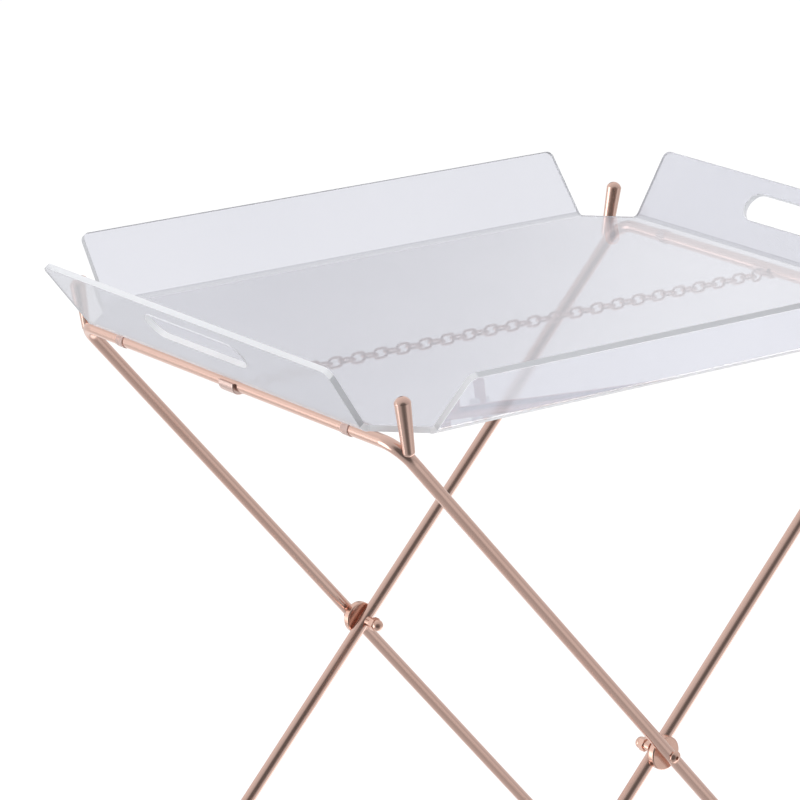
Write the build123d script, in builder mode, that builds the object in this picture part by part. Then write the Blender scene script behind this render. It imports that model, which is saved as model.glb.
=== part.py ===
from build123d import *

import os
from math import cos, hypot, pi, radians, sin, tan

os.makedirs("parts", exist_ok=True)

# A folding tray table: a clear tray bent from one sheet, on two crossed rod frames that a chain holds open.
# Millimetres. X runs along the tray, Y across it and Z up. The origin is on the floor under the middle.

# Stand
rod_diameter = 10.0
rail_spacing = 540.0
rail_height = 601.0
outer_frame_width = 397.0
bend_radius = 18.0

# Pivots
bolt_diameter = 5.0
bolt_head_diameter = 8.6
bolt_head_height = 2.0
socket_across_flats = 3.0
socket_depth = 1.6
washer_diameter = 10.0
washer_thickness = 0.6
spacer_diameter = 27.0
spacer_thickness = 6.0
spacer_edge = 1.2
neck_diameter = 8.5
neck_length = 6.0
nut_across_flats = 10.0
nut_hex_height = 5.0
nut_dome_diameter = 9.4
nut_dome_height = 6.0
bolt_grip_in_nut = 7.0
pivot_play = 0.1
bolt_fit = 0.05
thread_relief = 0.05

# Foot glides
glide_base = 2.0
glide_length = 26.0
glide_width = 16.0
glide_wrap = 3.5
glide_inset = 55.0
glide_edge = 1.5

# Bumper rings on the rails
bumper_wall = 0.75
bumper_length = 8.0
bumper_inset = 57.5

# Pegs
peg_foot_diameter = 9.0
peg_top_diameter = 12.4
peg_dome_height = 4.5
peg_foot_round = 3.5
peg_rise = 38.0
outer_peg_root = 7.5
inner_peg_root = 12.5
peg_setback = 6.2
peg_lean = 9.5
outer_peg_outset = 2.1
inner_peg_outset = 7.1

# Tray
sheet_thickness = 5.0
end_overhang = 8.0
side_overhang = 3.8
corner_cut_angle = 47.6
peg_clearance = 1.9
long_flap_height = 61.3
end_flap_height = 63.8
flap_flare = 37.5
fold_radius = 6.0
long_flap_taper = 2.2
end_flap_taper = -7.9
flap_corner_radius = 6.0
slot_length = 120.0
slot_height = 25.0
slot_centre = 37.8

# Stay chain
chain_wire = 2.2
link_width = 9.8
link_count = 47
link_play = 0.12
eye_radius = 5.0
eye_drop = 4.6
eye_bite = 0.8
saddle_wall = 2.4
saddle_length = 18.0
saddle_rise = 2.0
saddle_edge = 0.8

# Gap left between a piece and what it is seated on
seat_gap = 0.05

# Sizes that follow from the ones above
rod_radius = rod_diameter / 2
seat_radius = rod_radius + seat_gap
reach = rail_spacing / 2
floor_bar_height = glide_base + seat_radius
pivot_height = (rail_height + floor_bar_height) / 2
drop = rail_height - pivot_height
leg_half = hypot(reach, drop)
outer_half_width = outer_frame_width / 2
inner_half_width = outer_half_width - rod_diameter - spacer_thickness - 2 * pivot_play
bolt_radius = bolt_diameter / 2
bolt_hole_radius = bolt_radius + bolt_fit

half_widths = {-1: outer_half_width, 1: inner_half_width}
side_names = {-1: "left", 1: "right"}
depth_names = {-1: "front", 1: "back"}


def rod_loop(side, radius):
    """Round rod bent into a closed loop: rail, two legs and floor bar. The rail is on the side given."""
    half_width = half_widths[side]
    leaning = Plane(origin=(0, 0, pivot_height), x_dir=(0, 1, 0), z_dir=(drop, 0, -side * reach))
    half_loop = ((0, leg_half), (half_width, leg_half), (half_width, -leg_half), (0, -leg_half))
    with BuildPart() as loop:
        with BuildLine(leaning) as path:
            FilletPolyline(*half_loop, radius=bend_radius)
        with BuildSketch(Plane(origin=(side * reach, 0, rail_height), z_dir=(0, 1, 0))):
            Circle(radius)
        sweep(path=path.wire())
        mirror(about=Plane.XZ)
    return loop.part


# Frames: the outer one has its rail on the left, the inner one on the right
frame_names = {-1: "outer_frame", 1: "inner_frame"}
for side in (-1, 1):
    pivot_spots = [(0, depth * half_widths[side], pivot_height) for depth in (-1, 1)]
    with BuildPart() as frame:
        add(rod_loop(side, rod_radius))
        with Locations(*pivot_spots):
            Cylinder(bolt_hole_radius, 2 * rod_diameter, rotation=(90, 0, 0), mode=Mode.SUBTRACT)
    frame.part.label = frame_names[side]
    export_step(frame.part, f"parts/{frame_names[side]}.step")

# Pegs at the stand's four corners, coped to sit on the bends
peg_offsets = {-1: outer_peg_outset, 1: inner_peg_outset}
peg_roots = {-1: outer_peg_root, 1: inner_peg_root}
peg_lengths = {side: (peg_rise + root) / cos(radians(peg_lean)) for side, root in peg_roots.items()}
peg_reaches = {side: reach - peg_setback - root * tan(radians(peg_lean)) for side, root in peg_roots.items()}
peg_foot_radius = peg_foot_diameter / 2
peg_top_radius = peg_top_diameter / 2
for side in (-1, 1):
    seat = rod_loop(side, seat_radius)
    lean_x = side * sin(radians(peg_lean))
    lean_z = cos(radians(peg_lean))
    peg_length = peg_lengths[side]
    peg_shoulder = peg_length - peg_dome_height
    for depth in (-1, 1):
        peg_name = f"{depth_names[depth]}_{side_names[side]}_peg"
        peg_y = depth * (half_widths[side] + peg_offsets[side])
        peg_foot = (side * peg_reaches[side], peg_y, rail_height - peg_roots[side])
        with BuildPart() as peg:
            with BuildSketch(Plane(origin=peg_foot, x_dir=(0, 1, 0), z_dir=(lean_z, 0, -lean_x))):
                with BuildLine():
                    Polyline((0, peg_length), (0, 0), (peg_foot_radius, 0), (peg_top_radius, peg_shoulder))
                    TangentArc((0, peg_length), (peg_top_radius, peg_shoulder), tangent=(1, 0))
                make_face()
            revolve(axis=Axis(peg_foot, (lean_x, 0, lean_z)))
            fillet(peg.faces().sort_by(Axis.Z)[0].edges(), peg_foot_round)
            add(seat, mode=Mode.SUBTRACT)
        peg.part.label = peg_name
        export_step(peg.part, f"parts/{peg_name}.step")

# Glides clipped under the floor bars, which cross to the other side of the stand
for side in (-1, 1):
    for depth in (-1, 1):
        glide_name = f"{depth_names[depth]}_{side_names[-side]}_glide"
        glide_y = depth * (half_widths[side] - glide_inset)
        glide_top = floor_bar_height + glide_wrap
        with BuildPart() as glide:
            with Locations((-side * reach, glide_y, glide_top / 2)):
                Box(glide_width, glide_length, glide_top)
            fillet(glide.edges().filter_by(Axis.Z), glide_edge)
            chamfer(glide.faces().sort_by(Axis.Z)[0].edges(), glide_edge / 3)
            with Locations((-side * reach, glide_y, floor_bar_height)):
                Cylinder(seat_radius, 2 * glide_length, rotation=(90, 0, 0), mode=Mode.SUBTRACT)
        glide.part.label = glide_name
        export_step(glide.part, f"parts/{glide_name}.step")

# Bumper rings that the tray rests on
for side in (-1, 1):
    for depth in (-1, 1):
        bumper_name = f"{depth_names[depth]}_{side_names[side]}_bumper"
        with BuildPart() as bumper:
            with Locations((side * reach, depth * (half_widths[side] - bumper_inset), rail_height)):
                Cylinder(rod_radius + bumper_wall, bumper_length, rotation=(90, 0, 0))
                Cylinder(seat_radius, bumper_length, rotation=(90, 0, 0), mode=Mode.SUBTRACT)
        bumper.part.label = bumper_name
        export_step(bumper.part, f"parts/{bumper_name}.step")

# Pivots: from the outside in, bolt head, washer, outer leg, spacer, inner leg, neck and cap nut
washer_face = outer_half_width + rod_radius + pivot_play
head_face = washer_face + washer_thickness
spacer_face = outer_half_width - rod_radius - pivot_play
neck_face = inner_half_width - rod_radius
nut_face = neck_face - neck_length
shank_end = nut_face - bolt_grip_in_nut
nut_radius = nut_across_flats / 2
dome_radius = nut_dome_diameter / 2
dome_base = nut_face - nut_hex_height
dome_end = dome_base - nut_dome_height
head_radius = bolt_head_diameter / 2
head_end = head_face + bolt_head_height
pivot_axis = Axis((0, 0, pivot_height), (0, 1, 0))
for depth in (-1, 1):
    half_section = Plane(origin=(0, 0, pivot_height), x_dir=(1, 0, 0), z_dir=(0, 0, depth))
    outward = Plane(origin=(0, 0, pivot_height), x_dir=(1, 0, 0), z_dir=(0, depth, 0))

    # In the half section the first number is the distance from the bolt's axis, the second is along it
    with BuildPart() as bolt:
        with BuildSketch(half_section):
            with BuildLine():
                Polyline((head_radius, head_face), (bolt_radius, head_face), (bolt_radius, shank_end))
                Polyline((bolt_radius, shank_end), (0, shank_end), (0, head_end))
                TangentArc((0, head_end), (head_radius, head_face), tangent=(1, 0))
            make_face()
        revolve(axis=pivot_axis)
        with BuildSketch(outward.offset(head_end - socket_depth)):
            RegularPolygon(socket_across_flats / 2, 6, major_radius=False)
        extrude(amount=socket_depth, mode=Mode.SUBTRACT)
    bolt.part.label = f"{depth_names[depth]}_pivot_bolt"
    export_step(bolt.part, f"parts/{bolt.part.label}.step")

    with BuildPart() as washer:
        with BuildSketch(outward.offset(washer_face)):
            Circle(washer_diameter / 2)
            Circle(bolt_hole_radius, mode=Mode.SUBTRACT)
        extrude(amount=washer_thickness)
    washer.part.label = f"{depth_names[depth]}_pivot_washer"
    export_step(washer.part, f"parts/{washer.part.label}.step")

    with BuildPart() as spacer:
        with BuildSketch(outward.offset(spacer_face - spacer_thickness)):
            Circle(spacer_diameter / 2)
        extrude(amount=spacer_thickness)
        fillet(spacer.edges(), spacer_edge)
        with BuildSketch(outward.offset(spacer_face - spacer_thickness)):
            Circle(bolt_hole_radius)
        extrude(amount=spacer_thickness, mode=Mode.SUBTRACT)
    spacer.part.label = f"{depth_names[depth]}_pivot_spacer"
    export_step(spacer.part, f"parts/{spacer.part.label}.step")

    with BuildPart() as neck:
        with BuildSketch(outward.offset(nut_face)):
            Circle(neck_diameter / 2)
            Circle(bolt_hole_radius, mode=Mode.SUBTRACT)
        extrude(amount=neck_length)
        add(rod_loop(1, seat_radius), mode=Mode.SUBTRACT)
    neck.part.label = f"{depth_names[depth]}_pivot_neck"
    export_step(neck.part, f"parts/{neck.part.label}.step")

    with BuildPart() as cap_nut:
        with BuildSketch(outward.offset(dome_base)):
            RegularPolygon(nut_radius, 6, major_radius=False)
        extrude(amount=nut_hex_height)
        with BuildSketch(half_section):
            with BuildLine():
                Polyline((dome_radius, dome_base), (0, dome_base), (0, dome_end))
                TangentArc((0, dome_end), (dome_radius, dome_base), tangent=(1, 0))
            make_face()
        revolve(axis=pivot_axis)
        with BuildSketch(outward.offset(shank_end - thread_relief)):
            Circle(bolt_hole_radius)
        extrude(amount=bolt_grip_in_nut + thread_relief, mode=Mode.SUBTRACT)
    cap_nut.part.label = f"{depth_names[depth]}_cap_nut"
    export_step(cap_nut.part, f"parts/{cap_nut.part.label}.step")

# Tray: an eight-sided floor, and on each side a fold and a flap
fold_turn = 90 - flap_flare
fold_sin = sin(radians(fold_turn))
fold_cos = cos(radians(fold_turn))
fold_setback = fold_radius * tan(radians(fold_turn / 2))
underside = rail_height + rod_radius + bumper_wall
floor_top = underside + sheet_thickness
floor_half_length = reach + end_overhang - fold_setback
floor_half_width = outer_half_width + side_overhang - fold_setback

# Each corner of the floor is cut off square to a slanted line that stays clear of the inner frame's pegs
cut_cos = cos(radians(corner_cut_angle))
cut_sin = sin(radians(corner_cut_angle))
peg_run = (inner_peg_root + underside - rail_height) / cos(radians(peg_lean))
peg_taper = (peg_top_radius - peg_foot_radius) / (peg_lengths[1] - peg_dome_height)
peg_radius_there = peg_foot_radius + peg_taper * peg_run
peg_reach_there = peg_reaches[1] + peg_run * sin(radians(peg_lean))
peg_to_cut = peg_radius_there + peg_clearance
cut_reach = peg_reach_there * cut_cos + (inner_half_width + inner_peg_outset) * cut_sin - peg_to_cut
long_half = (cut_reach - floor_half_width * cut_sin) / cut_cos
end_half = (cut_reach - floor_half_length * cut_cos) / cut_sin
corners = [
    (floor_half_length, end_half),
    (long_half, floor_half_width),
    (-long_half, floor_half_width),
    (-floor_half_length, end_half),
    (-floor_half_length, -end_half),
    (-long_half, -floor_half_width),
    (long_half, -floor_half_width),
    (floor_half_length, -end_half),
]
with BuildPart() as tray:
    with BuildSketch(Plane.XY.offset(underside)):
        Polygon(*corners, align=None)
    extrude(amount=sheet_thickness)
    for heading in (0, 90, 180, 270):
        at_end = heading in (0, 180)
        fold_reach = floor_half_length if at_end else floor_half_width
        half = end_half if at_end else long_half
        flap_rise = (end_flap_height if at_end else long_flap_height) - fold_setback
        half_at_top = half - (end_flap_taper if at_end else long_flap_taper)
        out = Vector(cos(radians(heading)), sin(radians(heading)), 0)
        along = Vector(-sin(radians(heading)), cos(radians(heading)), 0)
        up = Vector(0, 0, 1)
        with BuildSketch(Plane(out * fold_reach + up * (underside + sheet_thickness / 2), along, out)):
            Rectangle(2 * half, sheet_thickness)
        fold_axis = Axis(out * fold_reach + up * (floor_top + fold_radius), -along)
        revolve(axis=fold_axis, revolution_arc=fold_turn)
        flap_start = out * (fold_reach + fold_radius * fold_sin) + up * (floor_top + fold_radius * (1 - fold_cos))
        with BuildSketch(Plane(flap_start, along, out * fold_sin - up * fold_cos)) as flap:
            Polygon((-half, 0), (half, 0), (half_at_top, flap_rise), (-half_at_top, flap_rise), align=None)
            fillet(flap.vertices().group_by(Axis.Y)[-1], flap_corner_radius)
            if at_end:
                with Locations((0, slot_centre - fold_setback)):
                    SlotOverall(slot_length, slot_height, mode=Mode.SUBTRACT)
        extrude(amount=sheet_thickness)
tray.part.label = "tray"
export_step(tray.part, "parts/tray.step")

# Chain eyes on the inner sides of the rails, each on a saddle that wraps the rail from below, clear of the tray
wire_radius = chain_wire / 2
eye_reach = reach - rod_radius - eye_radius - wire_radius + eye_bite
eye_height = rail_height - eye_drop
for side in (-1, 1):
    with BuildPart() as eye:
        with Locations((side * reach, 0, rail_height)):
            Cylinder(seat_radius + saddle_wall, saddle_length, rotation=(90, 0, 0))
        fillet(eye.edges().filter_by(GeomType.CIRCLE), saddle_edge)
        split(bisect_by=Plane.XY.offset(rail_height + saddle_rise), keep=Keep.BOTTOM)
        with Locations((side * eye_reach, 0, eye_height)):
            Torus(eye_radius, wire_radius, rotation=(90, 0, 0))
        add(rod_loop(side, seat_radius), mode=Mode.SUBTRACT)
    eye.part.label = f"{side_names[side]}_chain_eye"
    export_step(eye.part, f"parts/{eye.part.label}.step")

# Chain: links of six-sided wire on an eight-sided path, turned a quarter from one to the next
wire_step = chain_wire + link_play
hook_reach = eye_reach - eye_radius + wire_step
link_half = (2 * hook_reach + (link_count - 1) * wire_step) / (2 * link_count)
link_pitch = 2 * link_half - wire_step
link_bend = (link_width - chain_wire) / 2
link_tip = link_bend * tan(pi / 8)
link_shoulder = link_half - link_bend + link_tip
half_link = (
    (0, link_bend),
    (link_shoulder, link_bend),
    (link_half, link_tip),
    (link_half, -link_tip),
    (link_shoulder, -link_bend),
    (0, -link_bend),
)
with BuildPart() as link:
    with BuildLine() as link_path:
        Polyline(*half_link)
    with BuildSketch(Plane(origin=(0, link_bend, 0), z_dir=(1, 0, 0))):
        RegularPolygon(wire_radius, 6)
    sweep(path=link_path.wire(), transition=Transition.RIGHT)
    mirror(about=Plane.YZ)

half_chains = {"left_chain": range(link_count // 2 + 1), "right_chain": range(link_count // 2 + 1, link_count)}
for chain_name, places in half_chains.items():
    link_spots = [
        Location((link_half - hook_reach + place * link_pitch, 0, eye_height), (90 * (place % 2), 0, 0))
        for place in places
    ]
    with BuildPart() as half_chain:
        with Locations(*link_spots):
            add(link.part)
    half_chain.part.label = chain_name
    export_step(half_chain.part, f"parts/{chain_name}.step")
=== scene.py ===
# %% [markdown]
# # A folding tray table with a clear tray
#
# This lesson dresses a tray table: a clear tray bent from one sheet of acrylic, resting on two crossed
# frames of rose-gold rod that a fine chain holds open. The solids come from the CAD frame and are already
# the right shape and size, so most of them only need a finish. Two things are made again here. The chain
# gets round wire, and the tray gets the small rounded arrises that make clear plastic look real.

# %% Load the frame
from math import pi, radians

import bmesh
import bpy
from mathutils import Matrix, Vector


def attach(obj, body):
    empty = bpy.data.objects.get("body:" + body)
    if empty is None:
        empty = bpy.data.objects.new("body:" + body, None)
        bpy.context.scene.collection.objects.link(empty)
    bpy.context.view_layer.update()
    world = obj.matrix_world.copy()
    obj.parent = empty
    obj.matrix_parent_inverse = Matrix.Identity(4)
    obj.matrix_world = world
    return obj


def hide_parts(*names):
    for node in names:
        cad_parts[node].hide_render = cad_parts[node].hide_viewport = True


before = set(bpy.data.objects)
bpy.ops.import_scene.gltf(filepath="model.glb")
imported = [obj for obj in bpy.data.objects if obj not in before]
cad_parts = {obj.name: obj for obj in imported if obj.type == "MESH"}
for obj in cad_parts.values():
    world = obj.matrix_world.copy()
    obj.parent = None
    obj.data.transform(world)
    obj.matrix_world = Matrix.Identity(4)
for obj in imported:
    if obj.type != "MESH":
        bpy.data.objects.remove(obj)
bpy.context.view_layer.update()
scene = bpy.context.scene
scene.view_settings.view_transform = "Standard"
MM = 0.001

# %% [markdown]
# ## Camera
#
# A product picture is taken from far away with a long lens, which keeps upright lines nearly parallel. A
# camera can be aimed with a constraint, but a matrix built from where it stands, where it looks and which
# way is up leaves nothing to chance, and the small roll of a hand-set tripod is kept.

# %% Camera
standpoint = Vector((-2.0620, -2.4411, 1.5021))
gaze = Vector((0.59766, 0.74791, -0.28883)).normalized()
upright = Vector((0.16942, 0.23430, 0.95729))
across = gaze.cross(upright).normalized()
upright = across.cross(gaze)
lens = bpy.data.cameras.new("camera")
lens.lens = 191.4
lens.sensor_width = 36.0
lens.clip_end = 60
camera = bpy.data.objects.new("camera", lens)
camera.matrix_world = Matrix((across, upright, -gaze)).transposed().to_4x4()
camera.matrix_world.translation = standpoint
scene.collection.objects.link(camera)
scene.camera = camera
print("camera is", round(standpoint.length, 2), "m from the origin")

# %% [markdown]
# ## Shader sums in plain Python
#
# A finish is a small calculation that runs at every point of a surface. It can be wired by hand in the
# node editor, but in a script the wires hide the sum. This class wraps one socket, so that `1 - mask` adds
# the Math node by itself. Every other node comes from its one method called node.


# %% Signal
class Signal:
    """One shader socket. Arithmetic on it adds Math nodes, and node() adds a node of any other kind."""

    def __init__(self, tree, socket):
        self.tree, self.socket = tree, socket

    @staticmethod
    def node(tree, kind, settings=None, sockets=None, out=0):
        """Adds a node, gives it its settings and then its sockets, and returns one output."""
        made = tree.nodes.new(kind)
        for name, value in (settings or {}).items():
            setattr(made, name, value)
        Signal.feed(tree, made, sockets or {})
        return Signal(tree, made.outputs[out])

    @staticmethod
    def feed(tree, made, sockets):
        """Links or sets each of these sockets of a node."""
        for name, value in sockets.items():
            if isinstance(value, Signal):
                tree.links.new(value.socket, made.inputs[name])
            else:
                made.inputs[name].default_value = value

    def math(self, operation, first, second):
        """A Math node on two values."""
        return Signal.node(self.tree, "ShaderNodeMath", {"operation": operation}, {0: first, 1: second})

    def __add__(self, other):
        return self.math("ADD", self, other)

    def __sub__(self, other):
        return self.math("SUBTRACT", self, other)

    def __rsub__(self, other):
        return self.math("SUBTRACT", other, self)

    def __mul__(self, other):
        return self.math("MULTIPLY", self, other)

    __radd__, __rmul__ = __add__, __mul__


print("sums on sockets: add, subtract, multiply")

# %% [markdown]
# ## Shared shader helpers
#
# Every finish below starts from a blank material and uses the same three things: cloudy noise, a colour
# that follows a mask, and a bump. The noise reads the piece's own coordinates, so a pattern stays where it
# is when the piece moves.

# %% Shader helpers
# A Mix node keeps sockets for each kind of value, and these are its colour ones
MIX_FACTOR, MIX_LOW, MIX_HIGH, MIXED = 0, 6, 7, 2


def blank_finish(name):
    """A new material, its node tree and its surface shader."""
    finish = bpy.data.materials.new(name)
    finish.use_nodes = True
    return finish, finish.node_tree, finish.node_tree.nodes["Principled BSDF"]


def noise(tree, scale, detail=2.0, roughness=0.5):
    """Cloudy noise between 0 and 1, fixed to the piece. The scale is in cells for each metre."""
    place = Signal.node(tree, "ShaderNodeTexCoord", out="Object")
    sizes = {"Vector": place, "Scale": scale, "Detail": detail, "Roughness": roughness}
    return Signal.node(tree, "ShaderNodeTexNoise", {}, sizes)


def between(tree, mask, low, high):
    """A colour that goes from low to high with the mask."""
    ends = {MIX_FACTOR: mask, MIX_LOW: (*low, 1), MIX_HIGH: (*high, 1)}
    return Signal.node(tree, "ShaderNodeMix", {"data_type": "RGBA"}, ends, out=MIXED)


def dents(tree, height, strength, depth):
    """A bump that stands depth metres high, for a shader's Normal."""
    sizes = {"Strength": strength, "Distance": depth, "Height": height}
    return Signal.node(tree, "ShaderNodeBump", {}, sizes)


print("shader helpers ready")

# %% [markdown]
# ## Rose-gold plating
#
# The stand is steel rod with a bright rose-gold plating. Its colour lives in the reflection, so the shader
# is fully metallic and the base colour is the tint of that reflection. Plating over drawn rod is never quite
# even: the gloss drifts in soft patches, and under a lens there is a fine orange-peel skin.

# %% Plated metal
PATCH_DULLING = 0.10
PEEL_DULLING = 0.05
PEEL_STRENGTH = 0.12
PEEL_HEIGHT = 0.06 * MM


def plated(name, pale, deep, gloss, patches, skin):
    """Bright plating. Gloss is its lowest roughness. Patches and skin are in cells for each metre."""
    finish, tree, shader = blank_finish(name)
    drift = noise(tree, patches, detail=3.0)
    peel = noise(tree, skin, detail=2.0, roughness=0.6)
    surface = {
        "Base Color": between(tree, drift, pale, deep),
        "Metallic": 1.0,
        "Roughness": gloss + PATCH_DULLING * drift + PEEL_DULLING * peel,
        "Normal": dents(tree, peel, PEEL_STRENGTH, PEEL_HEIGHT),
    }
    Signal.feed(tree, shader, surface)
    return finish


rose_rod = plated(
    "rose_rod",
    pale=(0.86, 0.605, 0.522),
    deep=(0.80, 0.540, 0.455),
    gloss=0.13,
    patches=14.0,
    skin=1500.0,
)
rose_hardware = plated(
    "rose_hardware",
    pale=(0.90, 0.610, 0.510),
    deep=(0.82, 0.520, 0.420),
    gloss=0.17,
    patches=90.0,
    skin=2200.0,
)
rose_chain = plated(
    "rose_chain",
    pale=(0.82, 0.625, 0.570),
    deep=(0.72, 0.535, 0.485),
    gloss=0.20,
    patches=160.0,
    skin=2600.0,
)
print("plated finishes", rose_rod.name, rose_hardware.name, rose_chain.name)

# %% [markdown]
# ## Clear sheet
#
# The tray is clear acrylic, 5 mm thick. It could be a glass shader mixed with a dull one, but the Principled
# shader does both with one number: the share of the light that passes is its transmission, at an index of
# 1.49. The sheet takes a little light away, with a breath of violet, so the base colour is a pale grey.
# Handling leaves faint smears that only show in the gloss, and a bent sheet has long waves.

# %% Acrylic
CLOUDS = 5.0
SMEARS = 38.0
WAVES = 7.0
WAVE_STRENGTH = 0.15
ACRYLIC_INDEX = 1.49


def acrylic(name, pale, deep, gloss, smear, ripple, clearness):
    """A finish of the sheet. Smear is what the smears add to its roughness, and ripple is in metres."""
    finish, tree, shader = blank_finish(name)
    cloud = noise(tree, CLOUDS, detail=2.0)
    smears = noise(tree, SMEARS, detail=4.0, roughness=0.65)
    waves = noise(tree, WAVES, detail=1.0)
    surface = {
        "Base Color": between(tree, cloud, pale, deep),
        "Roughness": gloss + smear * smears,
        "Normal": dents(tree, waves, WAVE_STRENGTH, ripple),
        "IOR": ACRYLIC_INDEX,
        "Transmission Weight": clearness,
    }
    Signal.feed(tree, shader, surface)
    return finish


print("acrylic index", ACRYLIC_INDEX)

# %% [markdown]
# ## Seven finishes of one sheet
#
# One sheet takes seven finishes. The floor has a veil of fine scratches, the long flaps stay clear, and the
# end flaps are a little darker and hazier. Each bend has a grey line of painted shade. The cut edges carry
# painted light and shade: the long slanted rims are painted darkest, the ends between, and the rest pale as
# a painted highlight. One material with a painted mask could hold them all, but a material for each is
# easier to change.

# %% Sheet finishes
FACE_RIPPLE = 2.0 * MM
BEND_RIPPLE = 1.0 * MM
CUT = {"gloss": 0.42, "smear": 0.12, "ripple": 0.5 * MM, "clearness": 0.30}
# Each row has a name, a pale and a deep colour, gloss, smear, ripple and clearness
sheet_finishes = [
    acrylic("worn_floor", (0.785, 0.79, 0.84), (0.735, 0.74, 0.795), 0.015, 0.03, FACE_RIPPLE, 0.74),
    acrylic("clear_flap", (0.795, 0.80, 0.85), (0.745, 0.75, 0.805), 0.010, 0.02, FACE_RIPPLE, 0.97),
    # The end flaps are a little darker and hazier than the long flaps.
    acrylic("hazier_end_flap", (0.735, 0.74, 0.79), (0.685, 0.69, 0.745), 0.015, 0.04, FACE_RIPPLE, 0.72),
    # Each bend's grey line is painted shade in the crease of the sheet.
    acrylic("painted_shade_bend", (0.53, 0.535, 0.57), (0.48, 0.485, 0.525), 0.05, 0.10, BEND_RIPPLE, 0.70),
    # The cut edges carry painted light and shade: long slanted rims a painted shade, the rest a painted
    # highlight, the ends between.
    acrylic("painted_shade_rim", (0.44, 0.45, 0.48), (0.38, 0.39, 0.42), **CUT),
    acrylic("painted_highlight_edge", (0.76, 0.77, 0.80), (0.70, 0.71, 0.74), **CUT),
    acrylic("painted_half_shade_end", (0.58, 0.59, 0.62), (0.52, 0.53, 0.56), **CUT),
]
FLOOR, LONG_FLAP, END_FLAP, BEND, SHADE_RIM, HIGHLIGHT_EDGE, HALF_SHADE_END = range(len(sheet_finishes))
print("sheet finishes", [finish.name for finish in sheet_finishes])

# %% [markdown]
# ## Soft parts
#
# Small rings on the rails keep the tray from rattling, and glides keep the floor from being scratched. The
# rings are soft clear vinyl that takes the colour of the rod under it. The glides are milky nylon, dull and
# slightly mottled from moulding.

# %% Vinyl and nylon
MOTTLE_DULLING = 0.18
PORES_FINER = 12
PORE_STRENGTH = 0.25
PORE_HEIGHT = 0.08 * MM
MOULDED_INDEX = 1.5


def moulded(name, pale, deep, gloss, grain, clearness):
    """A moulded plastic. The grain is in cells for each metre, and its pores are finer."""
    finish, tree, shader = blank_finish(name)
    mottle = noise(tree, grain, detail=3.0)
    pores = noise(tree, grain * PORES_FINER, detail=2.0)
    surface = {
        "Base Color": between(tree, mottle, pale, deep),
        "Roughness": gloss + MOTTLE_DULLING * mottle,
        "Normal": dents(tree, pores, PORE_STRENGTH, PORE_HEIGHT),
        "IOR": MOULDED_INDEX,
        "Transmission Weight": clearness,
    }
    Signal.feed(tree, shader, surface)
    return finish


rose_vinyl = moulded(
    "rose_vinyl",
    pale=(0.90, 0.70, 0.64),
    deep=(0.82, 0.60, 0.54),
    gloss=0.28,
    grain=120.0,
    clearness=0.45,
)
milky_nylon = moulded(
    "milky_nylon",
    pale=(0.80, 0.79, 0.77),
    deep=(0.68, 0.67, 0.65),
    gloss=0.38,
    grain=150.0,
    clearness=0.0,
)
print("moulded finishes", rose_vinyl.name, milky_nylon.name)

# %% [markdown]
# ## Finishes on the solids
#
# The rods, pegs and fasteners are already the right shape, so they keep their own meshes and only change
# material. The first word that matches a node's name decides its finish.

# %% Assign finishes
finishes = {
    "frame": rose_rod,
    "peg": rose_rod,
    "eye": rose_chain,
    "bumper": rose_vinyl,
    "glide": milky_nylon,
    "pivot": rose_hardware,
    "nut": rose_hardware,
}
for node_name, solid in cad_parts.items():
    for word, finish in finishes.items():
        if word in node_name:
            solid.data.materials.clear()
            solid.data.materials.append(finish)
            break
print("solids with a finish", sum(1 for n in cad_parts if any(w in n for w in finishes)))

# %% [markdown]
# ## New pieces
#
# A new piece is written from a bmesh, with its place in its mesh and its object at the origin. It has to
# ride on a body of the frame, so that it moves with the joints.


# %% Piece maker
def new_piece(name, bm, body, piece_finishes):
    """Writes a bmesh to a new object that rides on a body of the frame."""
    mesh = bpy.data.meshes.new(name)
    bm.to_mesh(mesh)
    bm.free()
    mesh.polygons.foreach_set("use_smooth", [True] * len(mesh.polygons))
    for finish in piece_finishes:
        mesh.materials.append(finish)
    piece = bpy.data.objects.new(name, mesh)
    scene.collection.objects.link(piece)
    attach(piece, body)
    return piece


print("piece maker ready")

# %% [markdown]
# ## Which finish goes where on the tray
#
# The tray is one sheet: an eight-sided floor with four flaps folded up, two of them with a hand slot. Its
# faces could be picked by hand in the editor, but a rule picks the same ones each time the solid is built.
# A cut edge is a narrow face that sharp arrises go round, or a small facet of a rounded corner. The long
# slanted ones take the darkest painted shade, those outside the floor's half width a lighter painted shade,
# and the rest a pale painted highlight. A bend is a narrow face without arrises, with a painted shade. What
# is left is flat: the floor lies level, and the flaps lean.

# %% Sheet rule
SHEET = 5.0 * MM
STRIP_WIDTH = 1.02 * SHEET
FACET_LENGTH = 1.05 * SHEET
STRAIGHT_LENGTH = 4 * SHEET
FOLD_END_AREA = 100 * MM * MM
HALF_FLOOR = 205 * MM
ACROSS = 0.5
SLANTED = 0.1
LEVEL = 0.99


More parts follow.
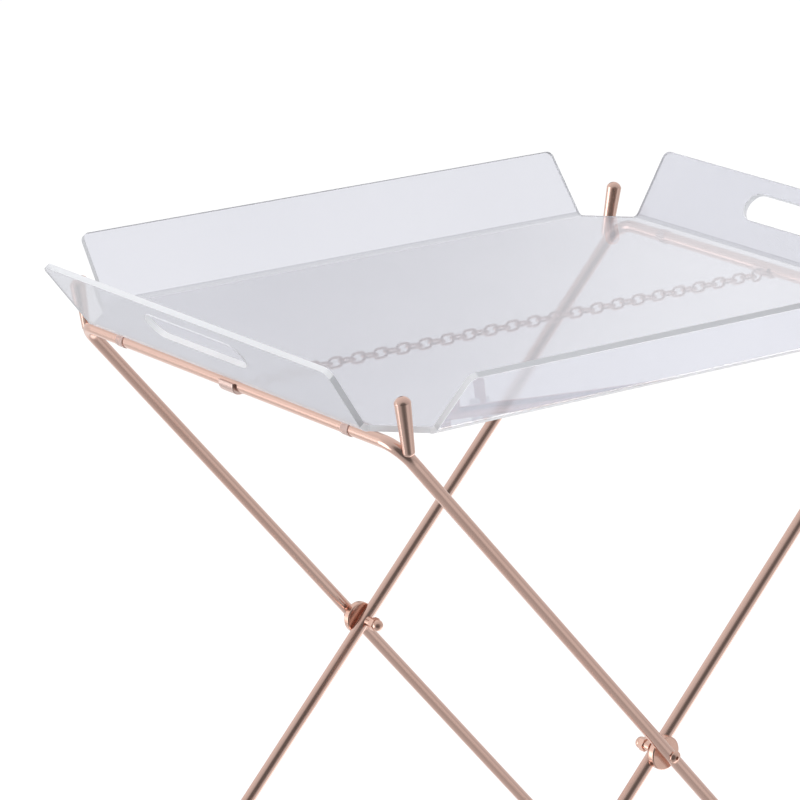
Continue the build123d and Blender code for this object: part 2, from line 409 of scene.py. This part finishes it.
def sheet_finish(face, arrises):
    """The place in sheet_finishes of the finish that this face of the tray takes."""
    area = face.calc_area()
    longest = max(edge.calc_length() for edge in face.edges)
    sharp = arrises.intersection(face.edges)
    bordered = sum(edge.calc_length() for edge in sharp) > face.calc_perimeter() / 2
    facet = len(sharp) >= 2 and longest < FACET_LENGTH
    narrow = area < STRIP_WIDTH * longest
    along, athwart, up = (abs(part) for part in face.normal)
    # Cut edges take painted light and shade: a painted shade on long slanted rims, a lighter one on ends, a
    # painted highlight elsewhere.
    if (bordered or facet) and (narrow or area < FOLD_END_AREA):
        if longest > STRAIGHT_LENGTH and athwart > ACROSS and up > SLANTED:
            return SHADE_RIM
        return HALF_SHADE_END if abs(face.calc_center_median().y) > HALF_FLOOR else HIGHLIGHT_EDGE
    if narrow and face.normal.z > 0:
        return BEND
    if up > LEVEL:
        return FLOOR
    return LONG_FLAP if athwart > along else END_FLAP


print("sheet rule ready for", len(sheet_finishes), "finishes")

# %% [markdown]
# ## Tray
#
# The tray's shape is right in the solid, but its arrises are razor sharp, and clear plastic with no rounded
# edge looks like a drawing. So a copy of its mesh is merged, its flat triangles are joined into whole faces,
# each face gets its finish and every arris is rounded a little. The sheet lets light through, so it casts no
# shadow, and the rods don't mirror it.

# %% Tray sheet
MERGE = 0.002 * MM
FLAT = radians(0.4)
SHARP = radians(60)
ARRIS = 0.5 * MM

bm = bmesh.new()
bm.from_mesh(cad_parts["tray"].data)
bmesh.ops.remove_doubles(bm, verts=bm.verts, dist=MERGE)
bmesh.ops.dissolve_limit(bm, angle_limit=FLAT, verts=bm.verts, edges=bm.edges)
arrises = {e for e in bm.edges if len(e.link_faces) == 2 and e.calc_face_angle() > SHARP}
counts = [0] * len(sheet_finishes)
for face in bm.faces:
    face.material_index = sheet_finish(face, arrises)
    counts[face.material_index] += 1
print("faces of each finish", counts, "arrises", len(arrises))
bmesh.ops.bevel(
    bm,
    geom=list(arrises),
    offset=ARRIS,
    affect="EDGES",
    segments=2,
    profile=0.5,
    material=-1,
    clamp_overlap=True,
)
tray_sheet = new_piece("tray_sheet", bm, "tray", sheet_finishes)
evened = tray_sheet.modifiers.new("even_normals", "WEIGHTED_NORMAL")
evened.keep_sharp = True
tray_sheet.visible_shadow = False
tray_sheet.visible_glossy = False
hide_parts("tray")
print("tray sheet", len(tray_sheet.data.polygons), "faces")

# %% [markdown]
# ## One link of the chain
#
# The stay chain is made of oval links of 2.2 mm wire. A link could be a torus pulled long, but its wire
# would thin out. So a wire circle is drawn along the straight, spun round the end, drawn back and spun
# once more.

# %% Wire link
WIRE = 1.1 * MM
WIRE_SIDES = 10
LINK_BEND = 3.8 * MM
BEND_STEPS = 9
LINK_STRAIGHT = 2.804 * MM
SEAM = 0.01 * MM
QUARTER = pi / 2


def wire_link(bm):
    """One closed oval link in the XY plane, about the origin. Returns its vertices."""
    ring = bmesh.ops.create_circle(bm, segments=WIRE_SIDES, radius=WIRE)["verts"]
    bmesh.ops.rotate(bm, verts=ring, cent=(0, 0, 0), matrix=Matrix.Rotation(QUARTER, 3, "Y"))
    bmesh.ops.translate(bm, verts=ring, vec=(-LINK_STRAIGHT, LINK_BEND, 0))
    edges = list({e for v in ring for e in v.link_edges})
    for end in (1, -1):
        drawn = bmesh.ops.extrude_edge_only(bm, edges=edges)["geom"]
        moved = [g for g in drawn if isinstance(g, bmesh.types.BMVert)]
        bmesh.ops.translate(bm, verts=moved, vec=(2 * end * LINK_STRAIGHT, 0, 0))
        edges = [g for g in drawn if isinstance(g, bmesh.types.BMEdge)]
        last = bmesh.ops.spin(
            bm,
            geom=edges + moved,
            cent=(end * LINK_STRAIGHT, 0, 0),
            axis=(0, 0, -1),
            angle=pi,
            steps=BEND_STEPS,
            use_merge=False,
        )["geom_last"]
        edges = [g for g in last if isinstance(g, bmesh.types.BMEdge)]
    bmesh.ops.remove_doubles(bm, verts=bm.verts, dist=SEAM)
    bmesh.ops.recalc_face_normals(bm, faces=bm.faces)
    return list(bm.verts)


print("wire link", round(2 * (LINK_STRAIGHT + LINK_BEND + WIRE) / MM, 1), "mm long")

# %% [markdown]
# ## Chain
#
# The links lie flat and stand upright in turn. They are copies of the first one, each a pitch further on and
# every second one turned by a quarter. The chain is in two runs, because each half swings with its own eye.

# %% Chain links
LINK_PITCH = 10.888 * MM
FIRST_LINK = -250.416 * MM
CHAIN_HEIGHT = 596.4 * MM
LEFT_LINKS = range(0, 24)
RIGHT_LINKS = range(24, 47)


def chain_run(name, node, body, numbers):
    """The links with these numbers, joined in one piece."""
    bm = bmesh.new()
    pattern = wire_link(bm)
    whole = pattern + list(bm.edges) + list(bm.faces)
    for number in numbers:
        if number < numbers[-1]:
            made = bmesh.ops.duplicate(bm, geom=whole)["geom"]
            link = [g for g in made if isinstance(g, bmesh.types.BMVert)]
        else:
            link = pattern
        if number % 2:
            bmesh.ops.rotate(bm, verts=link, cent=(0, 0, 0), matrix=Matrix.Rotation(QUARTER, 3, "X"))
        bmesh.ops.translate(bm, verts=link, vec=(FIRST_LINK + number * LINK_PITCH, 0, CHAIN_HEIGHT))
    piece = new_piece(name, bm, body, [rose_chain])
    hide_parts(node)


chain_run("left_stay_links", "left_chain", "left_half_chain", LEFT_LINKS)
chain_run("right_stay_links", "right_chain", "right_half_chain", RIGHT_LINKS)

# %% [markdown]
# ## Studio
#
# Plated rod shows nothing but the room around it, so the room is most of its look. A photographer sets cards
# round a bright object. They could be glowing planes, but those would stand in the way of other views. So
# they are drawn into the world, where only glossy rays see them: grey walls, a broad dark card on the
# camera's side, which is the dark line down the middle of each rod, a narrow dark one behind, and five
# paler panels low down and beside the rails. All other rays see a plain white room.

# %% Cards
WALLS = 0.62
RISE = 0.22
BRIGHT_SIDE = (0.20, 0.95, 0.25)
# Each card has a name, its direction, the cosines where it starts and where it is full, and its tone
CARDS = (
    ("camera side", (-0.50, -0.85, 0.05), 0.58, 0.86, 0.12),
    ("back wall", (0.475, 0.838, 0.267), 0.972, 0.993, 0.08),
    ("low right", (0.62, 0.00, -0.78), 0.80, 0.97, 1.50),
    ("low front", (0.52, -0.75, -0.40), 0.90, 0.99, 0.70),
    ("rail light", (-0.64, 0.74, 0.20), 0.95, 0.985, 1.00),
    ("low back", (0.12, 0.75, -0.65), 0.92, 0.985, 0.98),
    ("right rail", (-0.844, 0.469, -0.258), 0.925, 0.957, 2.6),
)
print("cards", [card for card, *rest in CARDS])

# %% World
world = bpy.data.worlds.new("studio")
world.use_nodes = True
room = world.node_tree
in_gloss = Signal.node(room, "ShaderNodeLightPath", out="Is Glossy Ray")
direction = Signal.node(room, "ShaderNodeTexCoord", out="Generated")


def toward(aim):
    """How far the ray's direction agrees with an aim, from -1 to 1."""
    ends = {0: direction, 1: Vector(aim).normalized()}
    return Signal.node(room, "ShaderNodeVectorMath", {"operation": "DOT_PRODUCT"}, ends, out="Value")


mirrored = WALLS + RISE * toward(BRIGHT_SIDE)
for card, aim, start, full, tone in CARDS:
    sizes = {"Value": toward(aim), "From Min": start, "From Max": full}
    held = Signal.node(room, "ShaderNodeMapRange", {"interpolation_type": "SMOOTHSTEP"}, sizes)
    mirrored = mirrored + held * (tone - mirrored)
strength = 1 - in_gloss * (1 - mirrored)
Signal.feed(room, room.nodes["Background"], {"Color": (1, 1, 1, 1), "Strength": strength})
scene.world = world
print("world nodes", len(room.nodes))

# %% [markdown]
# ## Floor
#
# The table stands on white paper that runs out of the picture. Paper that is only lit comes out grey, and
# paper that only glows has no shadow. So it does some of each: the glow makes it white to the lens, and the
# rest of its tone is light that the table can keep off.

# %% Floor
HALF_PAPER = 9.0
PAPER_GLOW = 0.42
PAPER_GRAIN = 60.0
PAPER_PALE = (0.61, 0.61, 0.61)
PAPER_DEEP = (0.59, 0.59, 0.59)

bm = bmesh.new()
bmesh.ops.create_grid(bm, x_segments=1, y_segments=1, size=HALF_PAPER)
mesh = bpy.data.meshes.new("floor")
bm.to_mesh(mesh)
bm.free()
floor = bpy.data.objects.new("floor", mesh)
scene.collection.objects.link(floor)
floor.visible_glossy = False
paper, tree, shader = blank_finish("floor_paper")
surface = {
    "Base Color": between(tree, noise(tree, PAPER_GRAIN), PAPER_PALE, PAPER_DEEP),
    "Roughness": 1.0,
    "Specular IOR Level": 0.0,
    "Emission Color": (1, 1, 1, 1),
    "Emission Strength": PAPER_GLOW,
}
Signal.feed(tree, shader, surface)
mesh.materials.append(paper)
print("floor", 2 * HALF_PAPER, "m wide")

# %% [markdown]
# ## Lamp
#
# One large soft lamp hangs above and a little to the back left. It gives the tray's flaps slightly different
# tones, and the feet their shadow. The metal doesn't mirror it, because a hard white patch on each rod would
# hide the cards.

# %% Lamp
soft = bpy.data.lights.new("overhead", "AREA")
soft.shape = "RECTANGLE"
soft.size = 1.6
soft.size_y = 1.2
soft.energy = 14
overhead = bpy.data.objects.new("overhead", soft)
overhead.location = (-0.5, 0.5, 2.4)
overhead.rotation_euler = (radians(-12), radians(-12), 0)
overhead.visible_glossy = False
scene.collection.objects.link(overhead)
print("lamp", soft.energy, "W")
